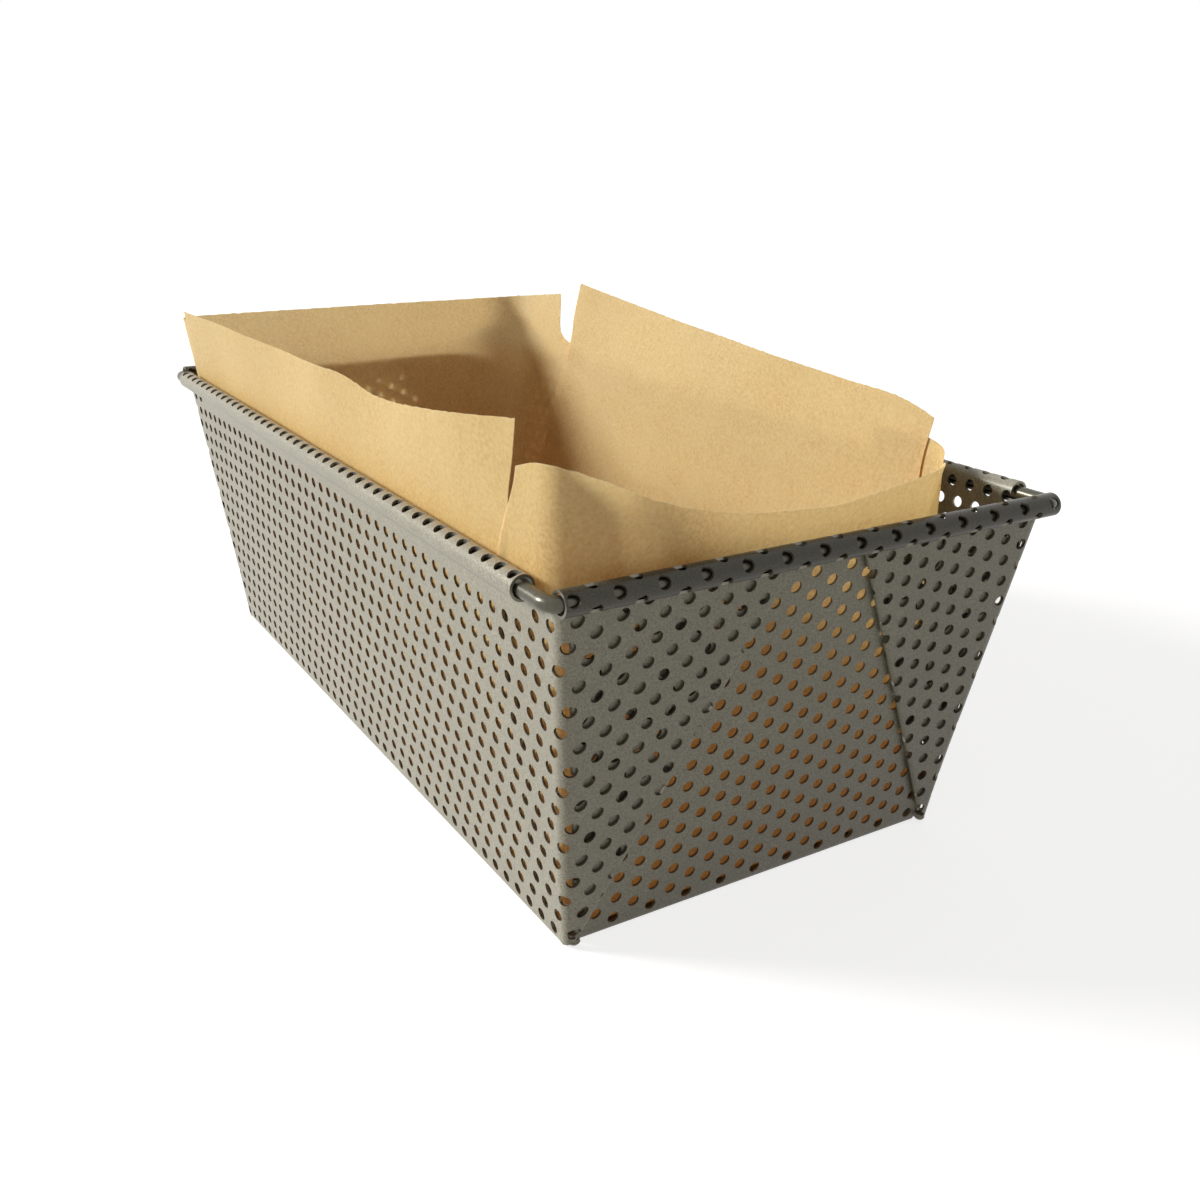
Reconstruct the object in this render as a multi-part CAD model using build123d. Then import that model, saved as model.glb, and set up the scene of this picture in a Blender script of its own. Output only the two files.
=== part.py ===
from build123d import *
import os
from math import atan, cos, degrees, radians, sin, sqrt, tan

# Perforated loaf pan, folded from one sheet over a rim wire, with a loose paper liner.
# Millimetres and degrees. X runs along the length, Z is up, the pan stands on Z = 0,
# and the origin is the middle of the base. Front is -Y and right is +X.

# Shell, measured over its outer faces
base_length = 201.5
base_width = 94.3
wall_height = 74.5
end_flare = 14.5
side_flare = 10.0
sheet = 0.5
base_bend_radius = 1.5

# Folded corners: each end wall carries a doubled triangle of sheet on either side
corner_bend_radius = 3.0
fold_gap = 0.25
fold_give = 2.0
pleat_top_gap = 0.3

# Rolled rim
wire_diameter = 3.0
wire_clearance = 0.4
wire_bend_radius = 3.0
roll_close_angle = 130.0
long_roll_bare = 6.5
end_roll_over = 1.0

# Perforation: staggered rows of six-sided holes that run along the length of the sheet.
# The real sheet has round holes of 2.5 at a pitch of 5. Each hole here stands for about
# ten of them, in the same pattern and with the same open share.
hole_pitch = 16.0
hole_across_corners = 8.8
hole_sides = 6
hole_margin = 1.2

# Paper liner
paper = 0.3
liner_seat_gap = 0.3
liner_side_gap = 1.0
liner_corner_gap = 2.5
flap_height = 24.2

# Top edges of the liner's flaps, anticlockwise round the pan as seen from above.
# Each pair is a share of half the wall's length at the rim and a share of flap_height.
# A narrow notch is a slit where two flaps part.
flap_shares = {
    "front": [(-1, 0.7), (-0.56, 0.82), (-0.12, 0.8), (0.17, 0.69), (0.46, 0.76), (0.68, 0.89),
              (0.87, 1), (0.88, 0.1), (0.89, 0.66), (1, 0.8)],
    "right": [(-1, 0.85), (-0.87, 0.68), (-0.55, 0.42), (-0.34, 0.3), (-0.17, 0.23), (0.1, 0.23),
              (0.38, 0.3), (0.45, 0.55), (0.52, 0), (1, 0)],
    "back": [(-1, 0), (-0.75, 0), (-0.75, 0.4), (-0.6, 0.53), (-0.23, 0.67), (0.15, 0.79),
             (0.63, 0.99), (0.655, 0.2), (0.71, 0.84), (1, 0.7)],
    "left": [(-1, 0.72), (0, 0.7), (1, 0.7)],
}

# Angles and stacks that follow
end_lean = degrees(atan(end_flare / wall_height))
side_lean = degrees(atan(side_flare / wall_height))
pleat_angle = (90 - end_lean - side_lean) / 2 - fold_give
pleat_stack = 2 * (fold_gap + sheet)
fold_radius = fold_gap / 2 + sheet
roll_radius = wire_diameter / 2 + wire_clearance + sheet
roll_height = wall_height + roll_radius
wire_drop = wire_clearance / 2

up = Vector(0, 0, 1)
outward = {
    "front": Vector(0, -1, 0),
    "back": Vector(0, 1, 0),
    "left": Vector(-1, 0, 0),
    "right": Vector(1, 0, 0),
}
ends = ("left", "right")
os.makedirs("parts", exist_ok=True)


def lean_of(side):
    return end_lean if side in ends else side_lean


def face_at_base(side, depth=0):
    """Distance from the middle to a wall's face at Z = 0, a depth inside the outermost face."""
    half = base_length / 2 if side in ends else base_width / 2
    return half - depth / cos(radians(lean_of(side)))


def wall_depth(side):
    """How far the single sheet of a wall lies inside the outermost face."""
    return pleat_stack if side in ends else 0


def wall_plane(side, depth=0):
    """Plane of a wall: X along the wall, Y up its slope, Z out of the pan."""
    lean = radians(lean_of(side))
    way = outward[side]
    foot = way * face_at_base(side, depth)
    return Plane(origin=foot, x_dir=up.cross(way), z_dir=way * cos(lean) - up * sin(lean))


def section_plane(side):
    """Upright plane across a wall: X out of the pan, Y up."""
    return Plane(origin=(0, 0, 0), x_dir=outward[side], z_dir=outward[side].cross(up))


# The corner bend between the back wall and the right pleat turns about this axis
right_face = wall_plane("right")
back_face = wall_plane("back")
corner_axis = back_face.z_dir.cross(right_face.z_dir).normalized()
corner_axis = corner_axis if corner_axis.Z > 0 else -corner_axis
axis_foot = Vector(face_at_base("right", corner_bend_radius), face_at_base("back", corner_bend_radius), 0)


def half_width(side, rise, depth=0):
    """Half the width of a wall at a rise up its slope, out to where the corner bend starts."""
    face = wall_plane("right" if side in ends else "back", depth)
    low = face.to_local_coords(axis_foot)
    high = face.to_local_coords(axis_foot + corner_axis * wall_height)
    share = (rise - low.Y) / (high.Y - low.Y)
    return abs(low.X + share * (high.X - low.X))


def bend_run(side):
    """Length of flat sheet that the bend at the base takes from each of its two legs."""
    return base_bend_radius * tan(radians(90 - lean_of(side)) / 2)


def bent_strip(outer, inner):
    """Section of bent sheet between two arcs, each given by its start, middle and end."""
    start, end = Line(inner[0], outer[0]), Line(outer[2], inner[2])
    return make_face([ThreePointArc(*outer), end, ThreePointArc(*inner), start])


def inside(spot, outline, margin):
    """True where a spot lies a margin inside a convex outline that runs anticlockwise."""
    for (x0, y0), (x1, y1) in zip(outline, outline[1:] + outline[:1]):
        run = sqrt((x1 - x0) ** 2 + (y1 - y0) ** 2)
        if ((x1 - x0) * (spot[1] - y0) - (y1 - y0) * (spot[0] - x0)) / run < margin:
            return False
    return True


def hole_places(outline, rows_upright):
    """Staggered hole centres inside an outline, in as many rows as fit across it."""
    low_x, high_x = min(x for x, y in outline), max(x for x, y in outline)
    low_y, high_y = min(y for x, y in outline), max(y for x, y in outline)
    edge = hole_across_corners / 2 + hole_margin
    row_step = hole_pitch * sqrt(3) / 2
    span, rise = (high_y - low_y, high_x - low_x) if rows_upright else (high_x - low_x, high_y - low_y)
    rows = int((rise - 2 * edge) / row_step) + 1
    columns = int(span / hole_pitch / 2) + 2
    places = []
    for row in range(rows):
        for column in range(-columns, columns + 1):
            along = (column + (row % 2) / 2) * hole_pitch
            across = (row - (rows - 1) / 2) * row_step
            x, y = (across, along) if rows_upright else (along, across)
            spot = (x + (low_x + high_x) / 2, y + (low_y + high_y) / 2)
            if inside(spot, outline, edge):
                places.append(spot)
    return places


def perforated_panel(outline, place, rows_upright):
    """Flat perforated sheet behind a plane, inside an outline that runs anticlockwise."""
    blank = make_face(Polyline(*outline, close=True))
    places = hole_places(outline, rows_upright)
    turn = 0 if rows_upright else 180 / hole_sides
    hole = Rot(0, 0, turn) * RegularPolygon(hole_across_corners / 2, hole_sides)
    holes = [Pos(*spot) * hole for spot in places]
    return extrude(place * (blank - holes if holes else blank), amount=-sheet)


def base_panel():
    x = face_at_base("right", pleat_stack) - bend_run("right")
    y = face_at_base("back") - bend_run("back")
    return perforated_panel([(-x, -y), (x, -y), (x, y), (-x, y)], Plane.XY.offset(sheet), False)


def base_bend(side):
    """Bend that joins a wall to the base, as long as the foot of the wall."""
    lean = radians(lean_of(side))
    run = bend_run(side)
    middle = Vector(face_at_base(side, wall_depth(side)) - run, base_bend_radius)
    down = Vector(0, -1)
    out = Vector(cos(lean), -sin(lean))
    half_way = (down + out).normalized()
    outer = [middle + way * base_bend_radius for way in (down, half_way, out)]
    inner = [middle + way * (base_bend_radius - sheet) for way in (down, half_way, out)]
    section = section_plane(side) * bent_strip(outer, inner)
    return extrude(section, amount=half_width(side, run, wall_depth(side)), both=True)


def wall(side):
    """Perforated wall of one sheet, with its bend at the base."""
    depth = wall_depth(side)
    low = bend_run(side)
    high = wall_height / cos(radians(lean_of(side)))
    foot, head = half_width(side, low, depth), half_width(side, high, depth)
    outline = [(-foot, low), (foot, low), (head, high), (-head, high)]
    return perforated_panel(outline, wall_plane(side, depth), side in ends) + base_bend(side)


def fold(place, start, end, bulge):
    """Half tube of sheet about a line in a plane, where two flat leaves fold back on each other."""
    start, end = place.from_local_coords(start), place.from_local_coords(end)
    ways = (place.z_dir, place.from_local_coords(bulge) - place.origin, -place.z_dir)
    outer = [start + way * fold_radius for way in ways]
    inner = [start + way * (fold_radius - sheet) for way in ways]
    length = (end - start).length
    return extrude(bent_strip(outer, inner), amount=length, dir=(end - start).normalized())


def corner_bend(low, high):
    """Bend that carries the back wall round the corner into the outer leaf of the pleat."""
    start = axis_foot + corner_axis * (low / corner_axis.Z)
    length = (high - low) / corner_axis.Z
    ways = (right_face.z_dir, (right_face.z_dir + back_face.z_dir).normalized(), back_face.z_dir)
    outer = [start + way * corner_bend_radius for way in ways]
    inner = [start + way * (corner_bend_radius - sheet) for way in ways]
    return extrude(bent_strip(outer, inner), amount=length, dir=corner_axis)


def pleat():
    """Doubled triangle of sheet folded flat against the right end wall at the back corner."""
    lean = radians(end_lean)
    fold_lean = radians(pleat_angle) - atan(tan(radians(side_lean)) * cos(lean))
    high = (wall_height - pleat_top_gap) / cos(lean)

    def fold_edge(rise):
        return face_at_base("back") - tan(fold_lean) * rise - fold_radius / cos(fold_lean)

    # The leaves start where the fold's axis crosses the edge of the corner bend
    foot, head = half_width("right", 0), half_width("right", high)
    low = (fold_edge(0) - foot) / ((head - foot) / high + tan(fold_lean))
    tip = Vector(fold_edge(low), low)
    fold_top = Vector(fold_edge(high), high)
    edge_top = Vector(head, high)
    outline = [tuple(spot)[:2] for spot in (tip, edge_top, fold_top)]

    bend = corner_bend(base_bend_radius, wall_height)
    outer_leaf = perforated_panel(outline, right_face, True)
    inner_leaf = perforated_panel(outline, right_face.offset(-sheet - fold_gap), True)
    fold_way, edge_way = (fold_top - tip).normalized(), (edge_top - tip).normalized()
    crease = fold(right_face.offset(-fold_radius), tip, fold_top, Vector(-fold_way.Y, fold_way.X))
    hem_plane = right_face.offset(-fold_radius - sheet - fold_gap)
    hem = fold(hem_plane, tip, edge_top, Vector(edge_way.Y, -edge_way.X))
    return bend + outer_leaf + inner_leaf + crease + hem


def roll_middle(side):
    """Distance from the middle of the pan to the rim wire's centre line."""
    lean = radians(lean_of(side))
    face = face_at_base(side, wall_depth(side)) + roll_height * tan(lean)
    return face + (roll_radius - sheet) / cos(lean)


def rim_roll(side):
    """Top of a wall, rolled outward and down round the rim wire."""
    lean = radians(lean_of(side))
    out = Vector(cos(lean), -sin(lean))
    middle = Vector(roll_middle(side), roll_height)
    crease = Vector(face_at_base(side, wall_depth(side)) + wall_height * tan(lean), wall_height)
    start_angle = 180 - lean_of(side)
    middle_angle = (start_angle - roll_close_angle) / 2

    def ring(radius, angle):
        return middle + Vector(cos(radians(angle)), sin(radians(angle))) * radius

    angles = (start_angle, middle_angle, -roll_close_angle)
    outer = [ring(roll_radius, angle) for angle in angles]
    inner = [ring(roll_radius - sheet, angle) for angle in angles]
    stem = make_face(Polyline(crease - out * sheet, outer[0], inner[0], crease, close=True))
    section = section_plane(side) * (bent_strip(outer, inner) + stem)
    if side in ends:
        half = roll_middle("back") - wire_bend_radius + end_roll_over
    else:
        half = roll_middle("right") - wire_bend_radius - long_roll_bare
    return extrude(section, amount=half, both=True)


def rim_wire():
    """Closed wire frame that lies low in the rolled rim, bare at the four corners."""
    loop = RectangleRounded(2 * roll_middle("right"), 2 * roll_middle("back"), wire_bend_radius)
    path = (Pos(0, 0, roll_height - wire_drop) * loop).wire()
    return sweep(Plane(origin=path @ 0, z_dir=path % 0) * Circle(wire_diameter / 2), path=path)


def liner_depth(side):
    """How far the outer face of the liner lies inside the outermost face of a wall."""
    return wall_depth(side) + sheet + liner_side_gap


def liner_base():
    level = sheet + liner_seat_gap
    x = face_at_base("right", liner_depth("right")) + level * tan(radians(end_lean))
    y = face_at_base("back", liner_depth("back")) + level * tan(radians(side_lean))
    return extrude(Plane.XY.offset(level) * Rectangle(2 * x, 2 * y), amount=paper)


def liner_wall(side):
    """One upright side of the liner, with the free edge of its flap."""
    slope = cos(radians(lean_of(side)))
    low = (sheet + liner_seat_gap + paper) / slope
    rim = (roll_height + roll_radius) / slope
    foot = half_width(side, low) - liner_corner_gap
    head = half_width(side, rim) - liner_corner_gap
    edge = reversed(flap_shares[side])
    top = [(along * head, rim + rise * flap_height / slope) for along, rise in edge]
    outline = Polyline((-foot, low), (foot, low), *top, close=True)
    return extrude(wall_plane(side, liner_depth(side)) * make_face(outline), amount=-paper)


def export_node(name, shape):
    shape.label = name
    export_step(shape, "parts/" + name + ".step")


export_node("base_panel", base_panel())
for side in outward:
    suffix = "_end_wall" if side in ends else "_wall"
    export_node(side + suffix, wall(side))
    export_node(side + "_rim_roll", rim_roll(side))

back_right = pleat()
export_node("back_right_pleat", back_right)
export_node("back_left_pleat", mirror(back_right, about=Plane.YZ))
export_node("front_right_pleat", mirror(back_right, about=Plane.XZ))
export_node("front_left_pleat", mirror(mirror(back_right, about=Plane.XZ), about=Plane.YZ))
export_node("rim_wire", rim_wire())

export_node("liner_base", liner_base())
for side in outward:
    export_node("liner_" + side, liner_wall(side))
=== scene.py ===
from math import acos, atan, atan2, ceil, cos, pi, radians, sin, sqrt, tan

import bmesh
import bpy
from bmesh.types import BMEdge, BMVert
from bpy.types import Operator, Panel, PropertyGroup
from mathutils import Matrix, Vector, noise


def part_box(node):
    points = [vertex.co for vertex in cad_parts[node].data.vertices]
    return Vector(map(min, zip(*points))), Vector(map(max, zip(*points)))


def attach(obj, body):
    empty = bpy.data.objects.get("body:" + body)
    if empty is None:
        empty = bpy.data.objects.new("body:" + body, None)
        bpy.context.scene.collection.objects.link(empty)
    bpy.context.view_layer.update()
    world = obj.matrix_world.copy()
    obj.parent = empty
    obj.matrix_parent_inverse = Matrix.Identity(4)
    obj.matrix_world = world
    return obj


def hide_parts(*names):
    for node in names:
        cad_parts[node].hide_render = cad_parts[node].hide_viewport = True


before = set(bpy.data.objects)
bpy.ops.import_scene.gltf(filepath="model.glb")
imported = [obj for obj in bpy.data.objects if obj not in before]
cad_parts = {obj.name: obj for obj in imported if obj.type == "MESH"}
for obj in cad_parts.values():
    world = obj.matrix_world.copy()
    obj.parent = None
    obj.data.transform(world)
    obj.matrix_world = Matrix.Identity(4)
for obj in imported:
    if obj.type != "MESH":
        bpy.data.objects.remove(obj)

bl_info = {
    "name": "Perforated loaf pan",
    "version": (1, 0, 0),
    "blender": (4, 5, 0),
    "location": "3D View > Sidebar > Loaf pan",
    "description": "Folds a perforated loaf pan from flat sheet and lines it with baking paper",
    "category": "Add Mesh",
}

MM = 0.001
UP = Vector((0, 0, 1))
OUTWARD = {
    "front": Vector((0, -1, 0)),
    "back": Vector((0, 1, 0)),
    "left": Vector((-1, 0, 0)),
    "right": Vector((1, 0, 0)),
}
ENDS = ("left", "right")

# Boxes of CAD nodes that sizes are taken from
BASE_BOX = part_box("base_panel")
LONG_ROLL_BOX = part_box("front_rim_roll")
END_ROLL_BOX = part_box("right_rim_roll")
WIRE_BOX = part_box("rim_wire")
LINER_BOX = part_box("liner_base")

# Distances within which points are welded, lie on a cut, are the same, or are near each other
WELD, ON_CUT, SAME, NEAR = 0.02 * MM, 0.001 * MM, 0.01 * MM, 0.05 * MM

# Sides of a punched hole, and steps of each bend
HOLE_SIDES = 12
BASE_STEPS, CORNER_STEPS, FOLD_STEPS, FOOT_STEPS, ROLL_STEPS = 6, 14, 6, 5, 26
WIRE_SIDES, WIRE_STEPS = 24, 14

# Sheet that stays whole between a hole and the edge of a panel, and of a folded corner
WHOLE_EDGE, WHOLE_CORNER_EDGE = 0.4 * MM, 0.3 * MM

# Creep of the front pattern along and up the sheet in millimetres, in the middle of the wall, what
# it loses a distance from there, and the run past a corner where the fold's shift takes over
CREEP, CREEP_LOSS, CREEP_DISTANCE, CREEP_BLEND = (0.5, 0.3), (2.0, 1.1), 100 * MM, 18 * MM

# How far sheet may lie off a corner bend's radius, and past its ends, and still belong to it
OFF_BEND, PAST_BEND = 0.2 * MM, 0.3 * MM

# Half size and lift of the floor, light of the room, and the lamp's place, size and strength
FLOOR_HALF, FLOOR_LIFT, ROOM_LIGHT = 30.0, 0.78, 0.22
KEY_PLACE, KEY_SPREAD, KEY_STRENGTH = (-0.62, -0.78, 0.44), radians(16), 3.45

# The camera fitted to the photograph: turn, rise and roll, place in millimetres, lens, shift
CAMERA_ANGLES = radians(58.93), radians(15.80), radians(0.43)
CAMERA_PLACE = (276.72, -151.13, 147.16)
CAMERA_LENS, CAMERA_SHIFT = 37.57, (0.0172, -0.0863)


def linear(code):
    """Linear colour of an sRGB hex value."""
    parts = [int(code[k:k + 2], 16) / 255 for k in (1, 3, 5)]
    return [p / 12.92 if p <= 0.04045 else ((p + 0.055) / 1.055) ** 2.4 for p in parts]


def length(name, description, default):
    return bpy.props.FloatProperty(
        name=name, description=description, default=default,
        unit="LENGTH", subtype="DISTANCE", precision=5)


def on_sheet(name, description, along, rise):
    """A place or a shift on a flat panel, along it and up its slope, in millimetres."""
    return bpy.props.FloatVectorProperty(
        name=name, description=description, default=(along * MM, rise * MM), size=2,
        unit="LENGTH", subtype="XYZ")


def angle(name, description, default):
    return bpy.props.FloatProperty(
        name=name, description=description, default=radians(default),
        unit="ROTATION", subtype="ANGLE")


def colour(name, description, code):
    return bpy.props.FloatVectorProperty(
        name=name, description=description, default=linear(code), size=3,
        subtype="COLOR", min=0, max=1)


class LoafPanSizes(PropertyGroup):
    """Sizes of the metal, over its outer faces."""
    base_length: length("Base length", "Length of the base", 201.5 * MM)
    base_width: length("Base width", "Width of the base", 94.3 * MM)
    wall_height: length("Wall height", "Height where the rolled rim starts", LONG_ROLL_BOX[0].z)
    end_flare: length("End flare", "How far an end leans out", 14.5 * MM)
    side_flare: length("Side flare", "How far a long wall leans out", 10 * MM)
    sheet: length("Sheet", "Thickness of the metal", BASE_BOX[1].z)
    base_bend: length("Base bend", "Radius of the bend round the base", 1.5 * MM)
    corner_bend: length("Corner bend", "Radius of an upright corner bend", 3 * MM)
    foot_bend: length("Foot bend", "Middle radius of that bend at its foot", 1.3 * MM)
    foot_height: length("Foot height", "Height over which that bend is full", 24 * MM)
    fold_gap: length("Fold gap", "Air between two leaves", 0.25 * MM)
    fold_give: angle("Fold give", "How much narrower a fold is than a perfect one", 2)
    pleat_drop: length("Pleat drop", "Distance from a leaf to the rim", 0.3 * MM)
    roll_radius: length(
        "Roll radius", "Outer radius of the rolled rim",
        (LONG_ROLL_BOX[1].z - LONG_ROLL_BOX[0].z) / 2)
    roll_close: angle("Roll close", "Where the roll ends, under the level of the wire", 130)
    long_roll_half: length("Long roll", "Half length of a long wall's roll", LONG_ROLL_BOX[1].x)
    end_roll_half: length("End roll", "Half length of an end's roll", END_ROLL_BOX[1].y + 0.6 * MM)
    wire_radius: length("Wire radius", "Radius of the wire", (WIRE_BOX[1].z - WIRE_BOX[0].z) / 2)
    wire_bend: length("Wire bend", "Radius of the wire's line at a corner", 3 * MM)


class LoafPanHoles(PropertyGroup):
    """The punched pattern, and the place of one of its holes on each panel of the blank."""
    diameter: length("Hole diameter", "Diameter of a punched hole", 2.5 * MM)
    pitch: length("Pitch", "Distance between two holes", 5 * MM)
    front: on_sheet("Front wall", "A hole's place on the front wall", 90.41, 68.57)
    back: on_sheet("Back wall", "A hole's place on the back wall and its roll", -90.6, 76.8)
    end: on_sheet("End walls", "A hole's place on an end wall", 2.76, 60.61)
    front_roll: on_sheet("Front roll", "A hole's place on the front roll", 1.8, 81.56)
    end_roll: on_sheet("End rolls", "A hole's place on the roll of an end", 4.2, 84.1)
    front_fold: on_sheet("Front folds", "Shift of the pattern on a front corner", -0.5, 1.3)
    back_fold: on_sheet("Back folds", "Shift of the pattern on a back corner", 2.2, 0.75)
    bare_half: length("Bare band", "Half length of the plain band on the front wall", 103 * MM)
    bare_from: length("Bare from", "Where that band starts, up the slope", 70 * MM)


class LoafPanLiner(PropertyGroup):
    """Sizes of the baking paper."""
    thickness: length("Paper", "Thickness of the paper", 0.12 * MM)
    seat: length("Seat", "Height of the paper's middle", (LINER_BOX[0].z + LINER_BOX[1].z) / 2)
    crease: length("Crease", "Radius of the crease round the base", 2.5 * MM)
    side_gap: length("Side gap", "Air between the paper and the metal", 1.1 * MM)
    lap: length("Lap", "Distance between two layers", 0.45 * MM)
    free_from: length("Free from", "Height over which the flaps stand free", 70 * MM)
    wave: length("Wave", "How far the paper bulges and waves", 1.4 * MM)
    ragged: length("Ragged", "How far the cut edge wanders", 0.25 * MM)
    step: length("Step", "Width of a strip of the mesh", 1.3 * MM)


class LoafPanFinishes(PropertyGroup):
    """Colours of the finishes."""
    coat: colour("Coat", "Baked coat on the sheet", "#A39E8C")
    # This colour is painted shade: the ends' rolls carry the same coat as the walls, drawn darker
    # because they lie in shade.
    rolled_coat: colour("Rolled coat", "Coat on the ends' rolls, burnished dark", "#5C594D")
    # The punched and cut edges are drawn darker than the coat; the dark is painted shade for the
    # hole walls, which lie in shade.
    punched_edge: colour("Punched edge", "Bare steel in the holes and on cut ends", "#807B6E")
    # The wire's dark tone is partly its own green-grey and partly painted shade, for the shade
    # inside the roll around it.
    wire: colour("Rim wire", "Drawn steel wire", "#5C594D")
    paper: colour("Paper", "Unbleached baking paper", "#F5C582")
    paper_fibre: colour("Paper fibre", "Darker fibres of the paper", "#CE9350")
    floor: colour("Floor", "Plain pale floor", "#B9B7B3")


def sizes():
    return bpy.context.scene.loaf_pan_sizes


def holes():
    return bpy.context.scene.loaf_pan_holes


def liner_sizes():
    return bpy.context.scene.loaf_pan_liner


def finishes():
    return bpy.context.scene.loaf_pan_finishes


# Materials

def node(tree, kind, inputs=None, **settings):
    """Add a node, set its settings, and set or link its inputs by name or number."""
    made = tree.nodes.new(kind)
    for key, value in settings.items():
        setattr(made, key, value)
    for key, value in (inputs or {}).items():
        if isinstance(value, bpy.types.NodeSocket):
            tree.links.new(value, made.inputs[key])
        else:
            made.inputs[key].default_value = value
    return made


def grains(tree, size, detail, roughness):
    """Noise whose grains have a size, fixed to the object."""
    spot = node(tree, "ShaderNodeTexCoord").outputs["Object"]
    return node(tree, "ShaderNodeTexNoise", {
        "Vector": spot, "Scale": 1 / size, "Detail": detail,
        "Roughness": roughness}).outputs["Fac"]


def remap(tree, value, low, high, to_low=0.0, to_high=1.0):
    """Stretch the range of a value from low to high over another range."""
    return node(tree, "ShaderNodeMapRange", {
        "Value": value, "From Min": low, "From Max": high,
        "To Min": to_low, "To Max": to_high}).outputs["Result"]


def mix(tree, share, first, second):
    """Blend two colours. The node has sockets for other data between its share and its colours."""
    return node(
        tree, "ShaderNodeMix", {0: share, 6: first, 7: second}, data_type="RGBA").outputs[2]


def bump(tree, height, strength, distance):
    return node(tree, "ShaderNodeBump", {
        "Height": height, "Strength": strength, "Distance": distance}).outputs["Normal"]


def shade(tone, share=1.0):
    """A colour made darker or lighter by a share, with full opacity."""
    return [min(1.0, c * share) for c in tone] + [1.0]


def new_material(name):
    material = bpy.data.materials.new(name)
    material.use_nodes = True
    material.node_tree.nodes.clear()
    return material, material.node_tree


def finish_material(tree, inputs):
    shader = node(tree, "ShaderNodeBsdfPrincipled", inputs)
    node(tree, "ShaderNodeOutputMaterial", {"Surface": shader.outputs["BSDF"]})


def baked_coat(name, tone, roughness, grit):
    """Baked silicone-polyester coat with a metallic pigment on steel sheet. It is satin, so it
    spreads a highlight widely, and its fine orange peel and flakes give it a grain. The grain of
    the real coat is about 0.1 mm, and it is drawn coarser here so that it shows."""
    material, tree = new_material(name)
    grain = grains(tree, grit, 3.0, 0.6)
    cloud = grains(tree, 14 * MM, 3.0, 0.55)
    flake = mix(tree, remap(tree, grain, 0.35, 0.65), shade(tone, 0.68), shade(tone, 1.3))
    stain = mix(tree, remap(tree, cloud, 0.3, 0.7, 0.0, 0.5), flake, shade(tone, 0.82))
    finish_material(tree, {
        "Base Color": stain, "Metallic": 0.05, "Specular IOR Level": 0.3,
        "Roughness": remap(tree, grain, 0.25, 0.75, roughness - 0.07, roughness + 0.09),
        "Normal": bump(tree, grain, 0.35, 0.03 * MM)})
    return material


def bare_steel(name, tone, roughness, metallic):
    """Cold-rolled or drawn mild steel, cut or drawn bright. It is a metal with a soft sheen, a
    little uneven from the punch or the die."""
    material, tree = new_material(name)
    drag = grains(tree, 0.8 * MM, 2.0, 0.5)
    finish_material(tree, {
        "Base Color": mix(tree, drag, shade(tone, 0.75), shade(tone, 1.2)),
        "Metallic": metallic,
        "Roughness": remap(tree, drag, 0.0, 1.0, roughness - 0.05, roughness + 0.1),
        "Normal": bump(tree, drag, 0.2, 0.02 * MM)})
    return material


def baking_paper(name, tone, fibre):
    """Unbleached kraft baking paper. Its long pulp fibres lie in all directions and make fine
    darker and lighter flecks about 0.8 mm long, it is cloudy at 11 mm, it has a faint silicone
    sheen, and light glows through it."""
    material, tree = new_material(name)
    pulp = grains(tree, 0.8 * MM, 5.0, 0.75)
    cloud = grains(tree, 11 * MM, 2.0, 0.5)
    fleck = mix(tree, remap(tree, pulp, 0.32, 0.68), shade(fibre), shade(tone, 1.12))
    haze = mix(tree, remap(tree, cloud, 0.3, 0.7, 0.15, 0.5), fleck, shade(tone))
    finish_material(tree, {
        "Base Color": haze, "Roughness": 0.62, "Subsurface Weight": 0.85,
        "Subsurface Radius": (1.0, 0.92, 0.78), "Subsurface Scale": 1.0 * MM,
        "Normal": bump(tree, pulp, 0.3, 0.05 * MM)})
    return material


def get_material(key):
    """One material of the object, made the first time it is asked for."""
    tint = finishes()
    makers = {
        "satin_baked_coat": lambda: baked_coat(key, tint.coat, roughness=0.36, grit=0.4 * MM),
        # A darker copy of the coat for the ends' rolls, which is painted shade
        "dark_rolled_coat": lambda: baked_coat(
            key, tint.rolled_coat, roughness=0.3, grit=0.22 * MM),
        # Darker than the coat, as painted shade in the holes
        "punched_steel_edge": lambda: bare_steel(
            key, tint.punched_edge, roughness=0.32, metallic=0.8),
        # The wire's dark tone is partly painted shade from inside the roll
        "drawn_steel_wire": lambda: bare_steel(key, tint.wire, roughness=0.28, metallic=0.6),
        "kraft_baking_paper": lambda: baking_paper(key, tint.paper, tint.paper_fibre),
    }
    return bpy.data.materials.get(key) or makers[key]()


# Finishes of a sheet piece: its faces, then its punched and cut edges
SHEET_FINISH = ("satin_baked_coat", "punched_steel_edge")
# The ends' rolls take the darker copy of the coat, as painted shade
SHADED_ROLL_FINISH = ("dark_rolled_coat", "punched_steel_edge")


# Meshes

def verts_in(geom):
    return [item for item in geom if isinstance(item, BMVert)]


def edges_in(geom):
    return [item for item in geom if isinstance(item, BMEdge)]


def everything(bm):
    return bm.verts[:] + bm.edges[:] + bm.faces[:]


def new_object(bm, name):
    """An object at the origin with the mesh, which is used up."""
    mesh = bpy.data.meshes.new(name)
    bm.to_mesh(mesh)
    bm.free()
    made = bpy.data.objects.new(name, mesh)
    bpy.context.scene.collection.objects.link(made)
    return made


def finish_piece(piece, nodes, body, sharp=40):
    """Shade a piece, hide the CAD parts that it stands for, and attach it to the body that it moves
    with.
    """
    mesh = piece.data
    mesh.shade_smooth()
    mesh.set_sharp_from_angle(angle=radians(sharp))
    if "flat" in mesh.attributes:
        mesh.attributes.remove(mesh.attributes["flat"])
    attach(piece, body)
    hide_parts(*nodes)
    return piece


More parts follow.
